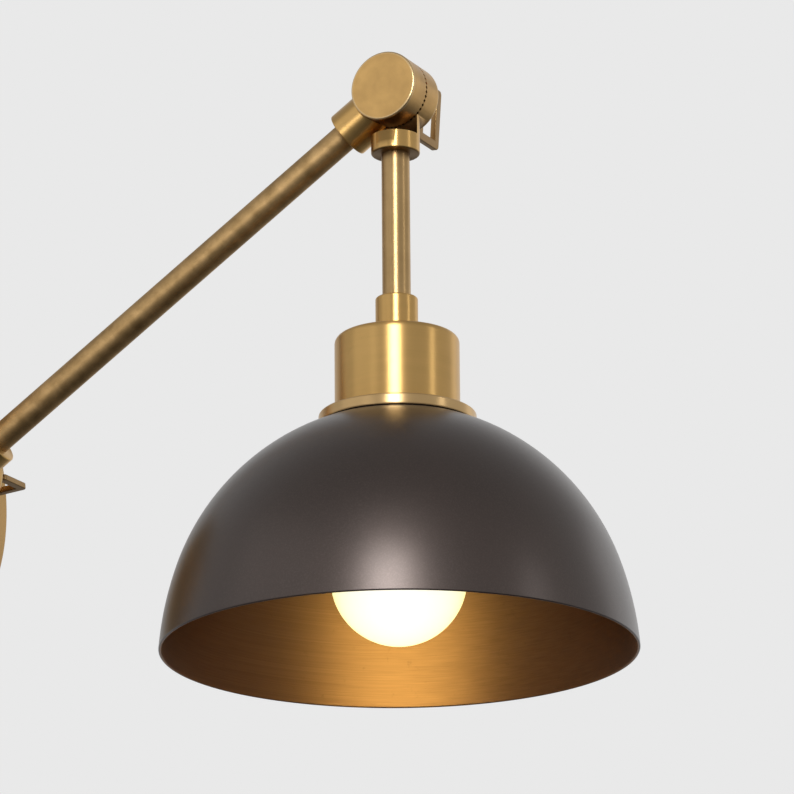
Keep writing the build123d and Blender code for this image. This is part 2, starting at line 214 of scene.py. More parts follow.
def math_node(tree, operation, first, second=0.0):
    """A Math node; each operand is a socket or a number."""
    node = add_node(tree, "ShaderNodeMath", operation=operation)
    for index, operand in enumerate((first, second)):
        if isinstance(operand, (int, float)):
            node.inputs[index].default_value = operand
        else:
            tree.links.new(operand, node.inputs[index])
    return node.outputs["Value"]


def product(tree, first, second):
    """Two factors multiplied; each is a socket or a number."""
    return math_node(tree, "MULTIPLY", first, second)


def vector_node(tree, operation, vector, constant=None):
    """A Vector Math node on a vector, with a constant vector where it takes two."""
    node = add_node(tree, "ShaderNodeVectorMath", operation=operation)
    tree.links.new(vector, node.inputs[0])
    if constant is not None:
        node.inputs[1].default_value = constant
    return node


def split(tree, vector):
    """The X, Y and Z sockets of a vector."""
    node = add_node(tree, "ShaderNodeSeparateXYZ")
    tree.links.new(vector, node.inputs[0])
    return node.outputs["X"], node.outputs["Y"], node.outputs["Z"]


def joined(tree, **axes):
    """A vector from the sockets of its axes; an axis left out stays 0."""
    node = add_node(tree, "ShaderNodeCombineXYZ")
    for axis, socket in axes.items():
        tree.links.new(socket, node.inputs[axis])
    return node.outputs[0]


def radius_from(tree, x, y):
    """Distance from the Z axis."""
    return vector_node(tree, "LENGTH", joined(tree, X=x, Y=y)).outputs["Value"]


def noise_at(tree, vector, scale, detail, roughness=0.55):
    """Value of a noise texture."""
    values = {"Scale": scale, "Detail": detail, "Roughness": roughness}
    noise = add_node(tree, "ShaderNodeTexNoise", values)
    tree.links.new(vector, noise.inputs["Vector"])
    return noise.outputs["Fac"]


def ramp(tree, factor, low, high):
    """A factor stretched so that low becomes 0 and high becomes 1."""
    node = add_node(tree, "ShaderNodeMapRange", {"From Min": low, "From Max": high})
    tree.links.new(factor, node.inputs["Value"])
    return node.outputs["Result"]


def mix_colours(tree, factor, first, second):
    """Two colours mixed; each is a socket or a colour."""
    node = add_node(tree, "ShaderNodeMix", data_type="RGBA")
    tree.links.new(factor, node.inputs["Factor"])
    for socket, colour in ((node.inputs[6], first), (node.inputs[7], second)):
        if isinstance(colour, tuple):
            socket.default_value = (*colour, 1)
        else:
            tree.links.new(colour, socket)
    return node.outputs[2]


# Node groups for the finishes

def make_turned_grain():
    """Brush lines that run round a piece's axis, fine and coarse."""
    inputs = [("Vector", "NodeSocketVector"), ("Lines", "NodeSocketFloat")]
    outputs = [("Fine", "NodeSocketFloat"), ("Coarse", "NodeSocketFloat")]
    group, source, target = new_group("turned_grain", inputs, outputs)
    x, y, z = split(group, source.outputs["Vector"])
    radius = radius_from(group, x, y)
    slant = -0.6
    around = math_node(group, "ADD", x, product(group, y, slant))
    for label, share, drift in (("Fine", 1.0, 90.0), ("Coarse", 0.16, 30.0)):
        lines = product(group, source.outputs["Lines"], share)
        place = joined(
            group,
            X=product(group, radius, lines),
            Y=product(group, around, drift),
            Z=product(group, z, lines),
        )
        group.links.new(noise_at(group, place, scale=1.0, detail=3.0), target.inputs[label])
    return group


def make_aged_tone():
    """Slow clouds of tone and small marks, as on handled metal."""
    inputs = [("Vector", "NodeSocketVector"), ("Cloud Size", "NodeSocketFloat")]
    outputs = [("Clouds", "NodeSocketFloat"), ("Marks", "NodeSocketFloat")]
    group, source, target = new_group("aged_tone", inputs, outputs)
    frequency = math_node(group, "DIVIDE", 1.0, source.outputs["Cloud Size"])
    scaled = vector_node(group, "SCALE", source.outputs["Vector"])
    group.links.new(frequency, scaled.inputs["Scale"])
    clouds = noise_at(group, scaled.outputs[0], scale=1.0, detail=4.0)
    group.links.new(ramp(group, clouds, low=0.3, high=0.7), target.inputs["Clouds"])
    marks = noise_at(group, scaled.outputs[0], scale=9.0, detail=6.0, roughness=0.7)
    group.links.new(ramp(group, marks, low=0.62, high=0.78), target.inputs["Marks"])
    return group


turned_grain = make_turned_grain()
aged_tone = make_aged_tone()


# Finishes

def new_finish(name, metallic):
    """A material with its tree, its Principled shader and a constant metallic value."""
    material = bpy.data.materials.new(name)
    material.use_nodes = True
    tree = material.node_tree
    shader = tree.nodes["Principled BSDF"]
    shader.inputs["Metallic"].default_value = metallic
    return material, tree, shader


def object_vector(tree, place):
    """Object coordinates seen from a place, so that its axis is Z."""
    coordinates = add_node(tree, "ShaderNodeTexCoord")
    mapping = add_node(tree, "ShaderNodeMapping", vector_type="TEXTURE")
    mapping.inputs["Location"].default_value = place.to_translation()
    mapping.inputs["Rotation"].default_value = place.to_euler()
    tree.links.new(coordinates.outputs["Object"], mapping.inputs["Vector"])
    return mapping.outputs["Vector"]


def use_group(tree, group, vector, **values):
    """A node group in a material, with its own values."""
    node = add_node(tree, "ShaderNodeGroup", node_tree=group)
    tree.links.new(vector, node.inputs["Vector"])
    for key, value in values.items():
        node.inputs[key.replace("_", " ")].default_value = value
    return node.outputs


def bump(tree, shader, height, strength, distance):
    """Relief from a height, on a shader's normal."""
    node = add_node(tree, "ShaderNodeBump", {"Strength": strength, "Distance": distance})
    tree.links.new(height, node.inputs["Height"])
    tree.links.new(node.outputs["Normal"], shader.inputs["Normal"])


def rough_between(tree, shader, factor, smooth, rough):
    """Roughness that follows a factor."""
    node = add_node(tree, "ShaderNodeMapRange", {"To Min": smooth, "To Max": rough})
    tree.links.new(factor, node.inputs["Value"])
    tree.links.new(node.outputs["Result"], shader.inputs["Roughness"])


def brushed_round(tree, shader, vector, place, stretch):
    """Brush lines round the axis of a place, which stretch the shine along the axis."""
    x, y, _ = split(tree, vector)
    turned = add_node(tree, "ShaderNodeMapping", vector_type="VECTOR")
    turned.inputs["Rotation"].default_value = place.to_euler()
    tree.links.new(joined(tree, X=product(tree, y, -1.0), Y=x), turned.inputs["Vector"])
    settings = {"vector_type": "VECTOR", "convert_from": "OBJECT", "convert_to": "WORLD"}
    lines = add_node(tree, "ShaderNodeVectorTransform", **settings)
    tree.links.new(turned.outputs["Vector"], lines.inputs[0])
    tree.links.new(lines.outputs[0], shader.inputs["Tangent"])
    shader.inputs["Anisotropic"].default_value = stretch
    shader.inputs["Anisotropic Rotation"].default_value = 0.25


def painted_knuckle_shade(tree, vector, colour, reach):
    """Painted shade: darker brass under a knuckle, in the crook between its collars."""
    _, y, z = split(tree, vector)
    below = ramp(tree, y, *knuckle_shade_below)
    near = ramp(tree, math_node(tree, "ABSOLUTE", z), *reach)
    share = product(tree, product(tree, below, near), knuckle_shade_share)
    return mix_colours(tree, share, colour, painted_shade_tone)


def shaded_corner(tree, vector, colour, heights):
    """Painted shade: darker brass in the corner between a collar and its tube."""
    _, _, z = split(tree, vector)
    share = product(tree, ramp(tree, z, *heights), corner_share)
    return mix_colours(tree, share, colour, painted_shade_tone)


def painted_edge_highlight(tree, vector, colour):
    """Painted highlight: paler brass on the round edges of a drum."""
    x, y, z = split(tree, vector)
    outside = ramp(tree, radius_from(tree, x, y), *edge_radius)
    ends = ramp(tree, math_node(tree, "ABSOLUTE", z), *edge_height)
    share = product(tree, product(tree, outside, ends), edge_highlight_share)
    return mix_colours(tree, share, colour, edge_highlight_tone)


def satin_brass(
    name, place, tones, smooth, rough,
    stretch=0.85, cloud_size=0.035, clouds=0.22, crook=None, highlight_edges=False, corner=None,
):
    """Brass brushed round the axis of a place, a little darkened with age, with painted shade under a
    knuckle or in a corner and a painted highlight on drum edges where asked.
    """
    material, tree, shader = new_finish(name, metallic=1.0)
    vector = object_vector(tree, place)
    bright, mid, dark = tones
    grain = use_group(tree, turned_grain, vector, Lines=2600.0)
    tone = use_group(tree, aged_tone, vector, Cloud_Size=cloud_size)
    brushed = mix_colours(tree, ramp(tree, grain["Coarse"], low=0.2, high=0.8), mid, bright)
    clouded = mix_colours(tree, product(tree, tone["Clouds"], clouds), brushed, dark)
    colour = mix_colours(tree, product(tree, tone["Marks"], mark_share), clouded, dark)
    if crook:
        colour = painted_knuckle_shade(tree, vector, colour, crook)
    if highlight_edges:
        colour = painted_edge_highlight(tree, vector, colour)
    if corner:
        colour = shaded_corner(tree, vector, colour, corner)
    tree.links.new(colour, shader.inputs["Base Color"])
    rough_between(tree, shader, grain["Coarse"], smooth, rough)
    bump(tree, shader, grain["Fine"], strength=0.12, distance=0.00005)
    if stretch:
        brushed_round(tree, shader, vector, place, stretch)
    return material


def drum_brass(name, place):
    """Brass of a knuckle's drum, with a painted highlight on its round edges and painted shade on its
    underside.
    """
    return satin_brass(
        name, place, drum_tone, smooth=0.30, rough=0.37,
        stretch=0, cloud_size=0.012, clouds=0.5, crook=drum_side, highlight_edges=True,
    )


def bronze_paint(name, place):
    """Dark bronze with a fine fleck, under a satin lacquer."""
    material, tree, shader = new_finish(name, metallic=0.8)
    shader.inputs["Specular IOR Level"].default_value = 0.8
    shader.inputs["Coat Weight"].default_value = 0.5
    shader.inputs["Coat Roughness"].default_value = 0.3
    shader.inputs["Coat IOR"].default_value = 1.45
    vector = object_vector(tree, place)
    tone = use_group(tree, aged_tone, vector, Cloud_Size=0.05)
    fleck = ramp(tree, noise_at(tree, vector, scale=1500.0, detail=2.0), low=0.45, high=0.75)
    flecked = mix_colours(tree, fleck, *paint_flecks)
    cloud_share = product(tree, tone["Clouds"], 0.35)
    tree.links.new(mix_colours(tree, cloud_share, flecked, paint_cloud), shader.inputs["Base Color"])
    peel = noise_at(tree, vector, scale=420.0, detail=2.0)
    rough_between(tree, shader, peel, smooth=0.33, rough=0.39)
    bump(tree, shader, peel, strength=0.05, distance=0.0002)
    return material


def bronze_lining(name, place):
    """Warm metallic lining of the shade, with the lines that spinning leaves."""
    material, tree, shader = new_finish(name, metallic=1.0)
    vector = object_vector(tree, place)
    grain = use_group(tree, turned_grain, vector, Lines=1900.0)
    tone = use_group(tree, aged_tone, vector, Cloud_Size=0.04)
    lined = mix_colours(tree, grain["Fine"], *lining_tones)
    marks = product(tree, tone["Marks"], 0.45)
    tree.links.new(mix_colours(tree, marks, lined, lining_mark), shader.inputs["Base Color"])
    rough_between(tree, shader, grain["Coarse"], smooth=0.36, rough=0.43)
    bump(tree, shader, grain["Fine"], strength=0.12, distance=0.0001)
    brushed_round(tree, shader, vector, place, stretch=0.7)
    return material


def plain_metal(name, colour, darker, smooth, rough):
    """Plated or bare metal with faint clouds and marks."""
    material, tree, shader = new_finish(name, metallic=1.0)
    vector = object_vector(tree, upright)
    tone = use_group(tree, aged_tone, vector, Cloud_Size=0.012)
    tree.links.new(mix_colours(tree, tone["Clouds"], colour, darker), shader.inputs["Base Color"])
    rough_between(tree, shader, tone["Marks"], smooth, rough)
    return material


def moulded(name, colour, lighter, smooth, rough):
    """Moulded plastic or enamel with a fine skin."""
    material, tree, shader = new_finish(name, metallic=0.0)
    vector = object_vector(tree, upright)
    tone = use_group(tree, aged_tone, vector, Cloud_Size=0.01)
    tree.links.new(mix_colours(tree, tone["Clouds"], colour, lighter), shader.inputs["Base Color"])
    skin = noise_at(tree, vector, scale=2500.0, detail=2.0)
    rough_between(tree, shader, skin, smooth, rough)
    bump(tree, shader, skin, strength=0.1, distance=0.00005)
    return material


def lit_glass(name):
    """Frosted glass of the lit bulb, yellower at its edge."""
    material, tree, shader = new_finish(name, metallic=0.0)
    vector = object_vector(tree, upright)
    frost = noise_at(tree, vector, scale=3000.0, detail=2.0)
    tree.links.new(mix_colours(tree, frost, *frost_tones), shader.inputs["Base Color"])
    rough_between(tree, shader, frost, smooth=0.3, rough=0.45)
    edge = add_node(tree, "ShaderNodeLayerWeight", {"Blend": 0.5})
    seen = mix_colours(tree, edge.outputs["Facing"], glow_middle, glow_edge)
    path = add_node(tree, "ShaderNodeLightPath")
    glow = mix_colours(tree, path.outputs["Is Camera Ray"], glow_light, seen)
    tree.links.new(glow, shader.inputs["Emission Color"])
    shader.inputs["Emission Strength"].default_value = glow_strength
    return material


head_brass = satin_brass("head_brass", upright, golden, smooth=0.32, rough=0.39)
flange_brass = satin_brass("flange_brass", upright, pale_tone, smooth=0.30, rough=0.37)
plate_brass = satin_brass("plate_brass", out_of_wall, plate_tone, smooth=0.30, rough=0.37)
# Painted shade on the underside of the arm's collar under the upper knuckle.
arm_brass = satin_brass("arm_brass", along_arm, golden, smooth=0.31, rough=0.38, crook=near_head)
# Painted shade on the underside of the drop collar.
drop_collar_brass = satin_brass(
    "drop_collar_brass", upright, golden, smooth=0.32, rough=0.39,
    corner=under_collar,
)
# Painted shade on the drop tube just below its collar.
drop_pipe_brass = satin_brass(
    "drop_pipe_brass", upright, tube_tone, smooth=0.36, rough=0.44,
    stretch=0.8, cloud_size=0.012, clouds=0.35, corner=below_collar,
)
arm_pipe_brass = satin_brass(
    "arm_pipe_brass", along_arm, arm_tone, smooth=0.47, rough=0.57,
    stretch=0.4, cloud_size=0.007, clouds=0.7,
)
key_brass = satin_brass(
    "key_brass", upper_drum, key_tone, smooth=0.32, rough=0.40,
    stretch=0, cloud_size=0.014, clouds=0.42,
)
upper_drum_brass = drum_brass("upper_drum_brass", upper_drum)
lower_drum_brass = drum_brass("lower_drum_brass", lower_drum)
shade_paint = bronze_paint("shade_paint", upright)
shade_lining = bronze_lining("shade_lining", upright)
zinc_steel = plain_metal("zinc_steel", (0.62, 0.62, 0.60), (0.45, 0.45, 0.44), smooth=0.28, rough=0.45)
contact_metal = plain_metal("contact_metal", (0.78, 0.62, 0.32), (0.55, 0.41, 0.19), smooth=0.22, rough=0.4)
cap_metal = plain_metal("cap_metal", (0.80, 0.80, 0.80), (0.62, 0.62, 0.63), smooth=0.25, rough=0.4)
green_lacquer = moulded("green_lacquer", (0.07, 0.33, 0.12), (0.09, 0.40, 0.16), smooth=0.25, rough=0.35)
socket_plastic = moulded(
    "socket_plastic", (0.035, 0.034, 0.033), (0.055, 0.053, 0.051), smooth=0.45, rough=0.6,
)
dark_enamel = moulded("dark_enamel", (0.018, 0.018, 0.020), (0.032, 0.032, 0.034), smooth=0.12, rough=0.2)
# Painted shadow for the seam under the flange.
flange_seam_shadow = moulded("flange_seam_shadow", (0.016, 0.011, 0.009), (0.026, 0.018, 0.014), smooth=0.5, rough=0.65)
bulb_glass = lit_glass("bulb_glass")


# Half outlines, drawn in the XZ plane as (radius, height) and spun about Z

def outline_from(radius, height):
    """A bmesh with the first point of a half outline."""
    bm = bmesh.new()
    bm.verts.new((radius, 0, height))
    return bm


def end_of(bm):
    """The last point drawn."""
    bm.verts.ensure_lookup_table()
    return bm.verts[-1]


def run_to(bm, radius, height):
    """Straight run of an outline to a point."""
    end = bmesh.ops.extrude_vert_indiv(bm, verts=[end_of(bm)])["verts"][0]
    end.co = (radius, 0, height)


def turn_about(bm, radius, height, angle, steps=corner_steps):
    """Round run of an outline about a centre; a positive angle, in degrees, goes from up to outwards."""
    bmesh.ops.spin(
        bm,
        geom=[end_of(bm)],
        cent=(radius, 0, height),
        axis=(0, 1, 0),
        angle=math.radians(angle),
        steps=steps,
    )


def spin_outline(bm, place, sides):
    """Spin a half outline about its axis and put the closed shell in its place."""
    bmesh.ops.spin(
        bm,
        geom=bm.verts[:] + bm.edges[:],
        cent=(0, 0, 0),
        axis=(0, 0, 1),
        angle=2 * math.pi,
        steps=sides,
        use_merge=True,
    )
    bmesh.ops.remove_doubles(bm, verts=bm.verts[:], dist=same_seam)
    bmesh.ops.recalc_face_normals(bm, faces=bm.faces[:])
    bmesh.ops.transform(bm, matrix=place, verts=bm.verts[:])


def show(name, bm, body, slot, finish, *nodes):
    """Make a bmesh a piece that rides on a body and stands for CAD nodes."""
    mesh = bpy.data.meshes.new(name)
    bm.to_mesh(mesh)
    bm.free()
    mesh.shade_smooth()
    mesh.set_sharp_from_angle(angle=crease)
    mesh.materials.append(finish)
    piece = bpy.data.objects.new(name, mesh)
    bpy.context.scene.collection.objects.link(piece)
    piece.modifiers.new("flat_faces_first", "WEIGHTED_NORMAL").keep_sharp = True
    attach(piece, body)
    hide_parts(*nodes)
    return piece


def pipe(name, node, place, inner_r, body, finish, edge):
    """A turned sleeve with round outer edges, as long and wide as its CAD node."""
    low, high, radius = span_along(node, place)
    bm = outline_from(inner_r, high)
    run_to(bm, radius - edge, high)
    turn_about(bm, radius - edge, high - edge, quarter)
    run_to(bm, radius, low + edge)
    turn_about(bm, radius - edge, low + edge, quarter)
    run_to(bm, inner_r, low)
    run_to(bm, inner_r, high)
    spin_outline(bm, place, pipe_sides)
    return show(name, bm, body, "satin_brass", finish, node)


def spun_shade():
    """The dome: painted outside, lined inside, with a round lip at the rim."""
    low, high, rim_r = span_along("shade", upright)
    hole_r = span_along("socket_body", upright)[2] + fine_edge
    lip_r = shade_wall / 2
    slope = math.radians(shade_shoulder_slope)
    bend = slope + math.radians(shade_dome_arc)
    dome_centre = Vector((
        shade_shoulder_r - shade_dome_r * math.sin(slope),
        high - shade_dome_r * math.cos(slope),
    ))
    dome_end = dome_centre + shade_dome_r * Vector((math.sin(bend), math.cos(bend)))
    rim = Vector((rim_r, low + lip_r))
    inward = Vector((-math.sin(bend), -math.cos(bend)))
    chord = rim - dome_end
    wall_r = chord.length_squared / (2 * chord.dot(inward))
    wall_arc = math.degrees(2 * math.asin(chord.length / (2 * wall_r)))
    wall_centre = dome_end + inward * wall_r
    lip = rim + (wall_centre - rim).normalized() * lip_r
    bm = outline_from(hole_r, high)
    run_to(bm, shade_shoulder_r, high)
    turn_about(bm, *dome_centre, shade_dome_arc, dome_steps)
    turn_about(bm, *wall_centre, wall_arc, wall_steps)
    turn_about(bm, *lip, half_turn, broad_steps)
    turn_about(bm, *wall_centre, -wall_arc, wall_steps)
    turn_about(bm, *dome_centre, -shade_dome_arc, dome_steps)
    run_to(bm, hole_r, high - shade_wall)
    run_to(bm, hole_r, high)
    spin_outline(bm, upright, shade_sides)
    piece = show("spun_shade", bm, "head", "bronze_paint", shade_paint, "shade")
    piece.data.materials.append(shade_lining)
    mouth = head_pivot + Vector((0, 0, low))
    for face in piece.data.polygons:
        if face.normal.dot(face.center - mouth) < 0:
            face.material_index = 1


def turned_cup():
    """Brass cup over the socket, open below."""
    low, high, radius = span_along("socket_cup", upright)
    hole_r = span_along("cup_nipple", upright)[2] + fine_edge
    bm = outline_from(hole_r, high)
    run_to(bm, radius - cup_edge, high)
    turn_about(bm, radius - cup_edge, high - cup_edge, quarter, broad_steps)
    run_to(bm, radius, low + fine_edge)
    turn_about(bm, radius - fine_edge, low + fine_edge, quarter, fine_steps)
    run_to(bm, radius - cup_wall, low)
    run_to(bm, radius - cup_wall, high - cup_edge)
    turn_about(bm, radius - cup_edge, high - cup_edge, -quarter)
    run_to(bm, hole_r, high - cup_wall)
    run_to(bm, hole_r, high)
    spin_outline(bm, upright, cup_sides)
    show("turned_cup", bm, "head", "satin_brass", head_brass, "socket_cup")


def turned_flange():
    """Round-edged ring between cup and shade, with a spigot up into the cup and a narrower foot."""
    low, spigot_top, radius = span_along("shade_flange", upright)
    high, _, cup_r = span_along("socket_cup", upright)
    spigot_r = cup_r - cup_wall - fine_edge
    hole_r = span_along("socket_body", upright)[2] + fine_edge
    under = low + flange_foot_h
    bm = outline_from(hole_r, spigot_top)
    run_to(bm, spigot_r, spigot_top)
    run_to(bm, spigot_r, high)
    run_to(bm, radius - flange_edge, high)
    turn_about(bm, radius - flange_edge, high - flange_edge, quarter)
    run_to(bm, radius, under + flange_edge)
    turn_about(bm, radius - flange_edge, under + flange_edge, quarter)
    run_to(bm, flange_foot_r, under)
    run_to(bm, flange_foot_r, low)
    run_to(bm, hole_r, low)
    run_to(bm, hole_r, spigot_top)
    spin_outline(bm, upright, cup_sides)
    piece = show("turned_flange", bm, "head", "satin_brass", flange_brass, "shade_flange")
    # Painted shadow: the flange's lowest edge is coloured near black, standing in for the shadow of the
    # seam over the shade.
    piece.data.materials.append(flange_seam_shadow)
    for face in piece.data.polygons:
        if face.center.z < head_pivot.z + under + flange_shadow_h:
            face.material_index = 1


def turned_wall_plate():
    """Hollow canopy on the wall, with one round front edge."""
    low, high, radius = span_along("wall_plate", out_of_wall)
    hole_r = span_along("stem_washer", out_of_wall)[2] / 2
    bm = outline_from(hole_r, high)
    run_to(bm, radius - plate_edge, high)
    turn_about(bm, radius - plate_edge, high - plate_edge, quarter, broad_steps)
    run_to(bm, radius, low + fine_edge)
    turn_about(bm, radius - fine_edge, low + fine_edge, quarter, fine_steps)
    run_to(bm, radius - plate_wall, low)
    run_to(bm, radius - plate_wall, high - plate_wall)
    run_to(bm, hole_r, high - plate_wall)
    run_to(bm, hole_r, high)
    spin_outline(bm, out_of_wall, shade_sides)
    show("turned_wall_plate", bm, "wall_base", "satin_brass", plate_brass, "wall_plate")


def blown_globe():
    """Frosted globe with a neck that flares out of its base."""
    low, high, radius = span_along("bulb_globe", upright)
    neck_r = span_along("bulb_base", upright)[2] - 2 * fine_edge
    centre = low + radius
    flare = math.acos((neck_r + bulb_neck_flare) / (radius + bulb_neck_flare))
    flare_height = centre + (radius + bulb_neck_flare) * math.sin(flare)
    bm = outline_from(neck_r, high)
    run_to(bm, neck_r, flare_height)
    turn_about(bm, neck_r + bulb_neck_flare, flare_height, -math.degrees(flare), flare_steps)
    turn_about(bm, 0, centre, quarter + math.degrees(flare), dome_steps)
    end_of(bm).co.x = 0
    spin_outline(bm, upright, globe_sides)
    bmesh.ops.solidify(bm, geom=bm.faces[:], thickness=bulb_wall)
    show("blown_globe", bm, "head", "frosted_glass", bulb_glass, "bulb_globe")


def smooth_copy(name, node, pivot, body, drum_finish, collar_finish):
    """A knuckle half's own shape with its triangles joined, so that its round faces shade smoothly."""
    bm = bmesh.new()
    bm.from_mesh(frame["nodes"][node].data)
    bmesh.ops.remove_doubles(bm, verts=bm.verts[:], dist=same_point)
    bmesh.ops.dissolve_degenerate(bm, edges=bm.edges[:], dist=sliver)
    bmesh.ops.dissolve_limit(bm, angle_limit=flat_within, verts=bm.verts[:], edges=bm.edges[:])
    for face in bm.faces:
        from_axis = face.calc_center_median() - pivot
        if math.hypot(from_axis.x, from_axis.z) > drum_r + sliver:
            face.material_index = 1
    piece = show(name, bm, body, "satin_brass", drum_finish, node)
    piece.data.materials.append(collar_finish)


def bevel_edges(bm, edges, width, segments):
    """Round some edges of a bmesh."""
    bmesh.ops.bevel(
        bm,
        geom=edges,
        affect="EDGES",
        offset=width,
        offset_type="OFFSET",
        segments=segments,
        profile=0.5,
        material=-1,
    )


def is_outer_corner(edge):
    """Whether an edge of a loop key runs through its thickness at an outer corner."""
    ends = [vertex.co for vertex in edge.verts]
    through = (ends[0] - ends[1]).to_2d().length < sliver
    return through and abs(ends[0].x) > key_width / 2 - sliver


def flat_loop(loop_start):
    """A square loop with round corners and edges, lying flat, that starts some way along Y."""
    bm = bmesh.new()
    bmesh.ops.create_grid(bm, x_segments=1, y_segments=1, size=0.5)
    bmesh.ops.scale(bm, vec=(key_width, key_loop_len, 1), verts=bm.verts[:])
    bmesh.ops.translate(bm, vec=(0, loop_start + key_loop_len / 2, -key_thick / 2), verts=bm.verts[:])
    window = bm.faces[:]
    bmesh.ops.inset_region(bm, faces=window, thickness=key_band, use_even_offset=True, use_boundary=True)
    bmesh.ops.delete(bm, geom=window, context="FACES_ONLY")
    grown = bmesh.ops.extrude_face_region(bm, geom=bm.faces[:])
    raised = [item for item in grown["geom"] if isinstance(item, bmesh.types.BMVert)]
    bmesh.ops.translate(bm, vec=(0, 0, key_thick), verts=raised)
    bmesh.ops.recalc_face_normals(bm, faces=bm.faces[:])
    bevel_edges(bm, [edge for edge in bm.edges if is_outer_corner(edge)], key_corner, corner_steps)
    bevel_edges(bm, [edge for edge in bm.edges if edge.calc_face_angle(0) > crease], key_round, fine_steps)
    return bm


def loop_key(name, node, pivot, angle, hub_h, body):
    """Flat loop to turn a clamp screw by, on a turned hub."""
    loop_start = key_hub_start + hub_h
    loop = flat_loop(loop_start)
    turned = Matrix.Rotation(math.radians(-angle), 4, "Y")
    bmesh.ops.transform(loop, matrix=Matrix.Translation(pivot) @ turned, verts=loop.verts[:])
    show(name, loop, body, "satin_brass", key_brass, node)
    hub = outline_from(0, key_hub_start)
    run_to(hub, key_hub_r - fine_edge, key_hub_start)
    turn_about(hub, key_hub_r - fine_edge, key_hub_start + fine_edge, -quarter, fine_steps)
    run_to(hub, key_hub_r, loop_start)
    turn_about(hub, key_hub_r - key_round, loop_start, -quarter)
    run_to(hub, 0, loop_start + key_round)
    away_from_camera = Matrix.Rotation(math.radians(-quarter), 4, "X")
    spin_outline(hub, Matrix.Translation(pivot) @ away_from_camera, hub_sides)
    show(name + "_hub", hub, body, "satin_brass", key_brass, node)


def dress_hidden_nodes():
    """Finishes for the CAD nodes that stay as they are."""
    finishes = {
        zinc_steel: (
            "mounting_bracket", "stem_washer", "stem_nut", "cup_nipple", "cup_washer", "cup_nut",
            "lower_clamp_screw", "upper_clamp_screw",
        ),
        plate_brass: ("plate_screws",),
        key_brass: ("upper_key_washer", "lower_key_washer"),
        green_lacquer: ("ground_screw",),
        shade_paint: ("shade_ring",),
        socket_plastic: ("socket_cap", "socket_body"),
        contact_metal: ("screw_shell", "socket_contact", "bulb_tip"),
        cap_metal: ("bulb_base",),
        dark_enamel: ("bulb_insulator",),
    }
    for finish, names in finishes.items():
        for name in names:
            mesh = frame["nodes"][name].data
            mesh.materials.clear()
            mesh.materials.append(finish)


def build_lamp():
    """Every piece of the lamp that stands for a CAD node."""
    spun_shade()
    turned_cup()
    turned_flange()
    turned_wall_plate()
    blown_globe()
    tube_r = span_along("drop_tube", upright)[2]
    bore_r = tube_r - tube_wall
    pipe("arm_pipe", "arm_tube", along_arm, bore_r, "arm", arm_pipe_brass, fine_edge)
    pipe("drop_pipe", "drop_tube", upright, bore_r, "head", drop_pipe_brass, fine_edge)
    pipe("turned_ferrule", "neck_ferrule", upright, tube_r, "head", head_brass, ferrule_edge)
    knuckle_halves = (
        ("upper_front_drum", "arm_upper_knuckle_half", head_pivot, "arm", upper_drum_brass, arm_brass),
        ("upper_rear_drum", "head_knuckle_half", head_pivot, "head", upper_drum_brass, drop_collar_brass),
        ("lower_front_drum", "arm_lower_knuckle_half", low_pivot, "arm", lower_drum_brass, arm_brass),
        ("lower_rear_drum", "wall_knuckle_half", low_pivot, "wall_base", lower_drum_brass, plate_brass),
    )
    for half in knuckle_halves:
        smooth_copy(*half)
    loop_key("upper_loop_key", "upper_key", head_pivot, upper_key_angle, upper_hub_h, "upper_clamp")
    loop_key("lower_loop_key", "lower_key", low_pivot, lower_key_angle, lower_hub_h, "lower_clamp")
    dress_hidden_nodes()


# Stage, light and camera

def floor_finish():
    """Pale matt floor, a little lifted for the camera and clear from below."""
    material, tree, shader = new_finish("pale_floor", metallic=0.0)
    vector = object_vector(tree, Matrix.Identity(4))
    clouds = noise_at(tree, vector, scale=3.0, detail=3.0)
    tree.links.new(mix_colours(tree, clouds, *floor_tones), shader.inputs["Base Color"])
    shader.inputs["Roughness"].default_value = 0.9
    path = add_node(tree, "ShaderNodeLightPath")
    lift = (floor_lift, floor_lift, floor_lift)
    lifted = mix_colours(tree, path.outputs["Is Camera Ray"], (0.0, 0.0, 0.0), lift)
    tree.links.new(lifted, shader.inputs["Emission Color"])
    shader.inputs["Emission Strength"].default_value = 1.0
    side = add_node(tree, "ShaderNodeNewGeometry").outputs["Backfacing"]
    one_sided = add_node(tree, "ShaderNodeMixShader")
    tree.links.new(side, one_sided.inputs["Fac"])
    tree.links.new(shader.outputs["BSDF"], one_sided.inputs[1])
    tree.links.new(add_node(tree, "ShaderNodeBsdfTransparent").outputs[0], one_sided.inputs[2])
    tree.links.new(one_sided.outputs[0], tree.nodes["Material Output"].inputs["Surface"])
    return material


def pale_floor():
    """Plain floor well below the lamp; it hides nothing from below."""
    bm = bmesh.new()
    bmesh.ops.create_grid(bm, x_segments=2, y_segments=2, size=floor_half)
    bmesh.ops.translate(bm, vec=(0, 0, floor_height), verts=bm.verts[:])
    mesh = bpy.data.meshes.new("floor")
    bm.to_mesh(mesh)
    bm.free()
    mesh.materials.append(floor_finish())
    floor = bpy.data.objects.new("floor", mesh)
    floor.visible_glossy = False
    bpy.context.scene.collection.objects.link(floor)


def from_lamp(azimuth, elevation, distance):
    """A point seen from the middle of the lamp; azimuth 0 is the -Y side and 90 the +X side."""
    turn = math.radians(azimuth)
    rise = math.radians(elevation)
    level = math.cos(rise)
    return lamp_middle + distance * Vector((
        math.sin(turn) * level,
        -math.cos(turn) * level,
        math.sin(rise),
    ))


